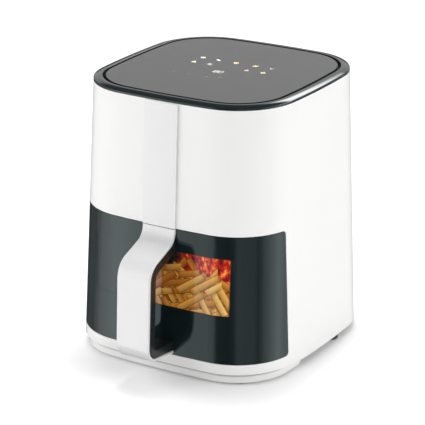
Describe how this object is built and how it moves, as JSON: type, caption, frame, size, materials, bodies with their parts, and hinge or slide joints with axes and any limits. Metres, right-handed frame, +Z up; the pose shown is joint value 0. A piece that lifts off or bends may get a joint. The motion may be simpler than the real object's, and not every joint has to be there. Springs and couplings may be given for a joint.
{
  "type": "drawer-type hot-air fryer",
  "caption": "Table-top hot-air fryer: flared rounded-square body, touch panel on top, pull-out pan drawer with a window, a bent strap handle and a lift-out crisper plate.",
  "frame": {"origin": "on the table, under the middle of the overall box", "axes": "+Z up, the drawer front faces -Y and the drawer pulls out along -Y, +X to the right as seen from the front"},
  "size_m": [0.2778, 0.3412, 0.3289],
  "materials": {
    "shell_white": "glossy",
    "strap_white": "satin",
    "rim_dark": "glossy",
    "panel_grey": "matt",
    "front_dark": "glossy",
    "window_glass": "tinted, glossy",
    "clear_glass": "clear",
    "dark_plastic": "matt",
    "sheet_steel": "brushed",
    "heater_sheath": "dull",
    "insulator_white": "matt",
    "non_stick": "satin",
    "soft_black": "matt",
    "zinc_steel": "plated",
    "motor_grey": "satin",
    "board_green": "lacquered",
    "device_black": "matt",
    "standoff_brass": "machined"
  },
  "bodies": {
    "housing": {"outer_housing": "shell_white", "base_cover": "shell_white", "front_strip": "strap_white", "top_rim": "rim_dark", "touch_panel": "panel_grey", "lamp_lens": "clear_glass", "lamp_bulb": "clear_glass", "opening_bezel": "dark_plastic", "rear_vent": "dark_plastic", "exhaust_duct": "dark_plastic", "board_carrier": "dark_plastic", "cooking_chamber": "sheet_steel", "drawer_rails": "sheet_steel", "fan_dome": "sheet_steel", "motor_bracket": "sheet_steel", "heater_guard": "sheet_steel", "chamber_standoffs": "sheet_steel", "lamp_holder": "sheet_steel", "thermal_cutout": "sheet_steel", "temperature_probe": "sheet_steel", "heater_coil": "heater_sheath", "heater_insulators": "insulator_white", "rubber_feet": "soft_black", "cord_gland": "soft_black", "touch_pads": "soft_black", "base_screws": "zinc_steel", "motor_screws": "zinc_steel", "fan_motor": "motor_grey", "control_board": "board_green", "power_board": "board_green", "display_module": "device_black", "power_components": "device_black", "drawer_switch": "device_black", "board_standoffs": "standoff_brass"},
    "drawer": {"front_panel": "front_dark", "window_pane": "window_glass", "drawer_inner_cover": "dark_plastic", "pan_frame": "dark_plastic", "pan_screws": "zinc_steel", "glass_seal": "soft_black", "inner_glass": "clear_glass", "switch_tab": "dark_plastic", "handle": "strap_white", "handle_grip": "dark_plastic", "handle_screws": "zinc_steel", "pan": "non_stick"},
    "crisper": {"crisper_plate": "non_stick", "crisper_pads": "soft_black"},
    "fan_rotor": {"motor_shaft": "zinc_steel", "hot_air_fan": "sheet_steel", "fan_nut": "zinc_steel", "cooling_fan": "dark_plastic"},
    "plunger": {"switch_plunger": "device_black"}
  },
  "joints": [
    {"name": "drawer_slide", "type": "slide", "parent": "housing", "child": "drawer", "axis": [0, -1, 0], "range_m": [0, 0.262]},
    {"name": "crisper_lift", "type": "slide", "parent": "drawer", "child": "crisper", "axis": [0, 0, 1], "range_m": [0, 0.1]},
    {"name": "fan_spin", "type": "hinge", "parent": "housing", "child": "fan_rotor", "pos_m": [0, 0.04941, 0.25], "axis": [0, 0, 1], "continuous": true},
    {"name": "plunger_press", "type": "slide", "parent": "housing", "child": "plunger", "axis": [0, 1, 0], "range_m": [0, 0.002], "stiffness_N_per_m": 200}
  ]
}
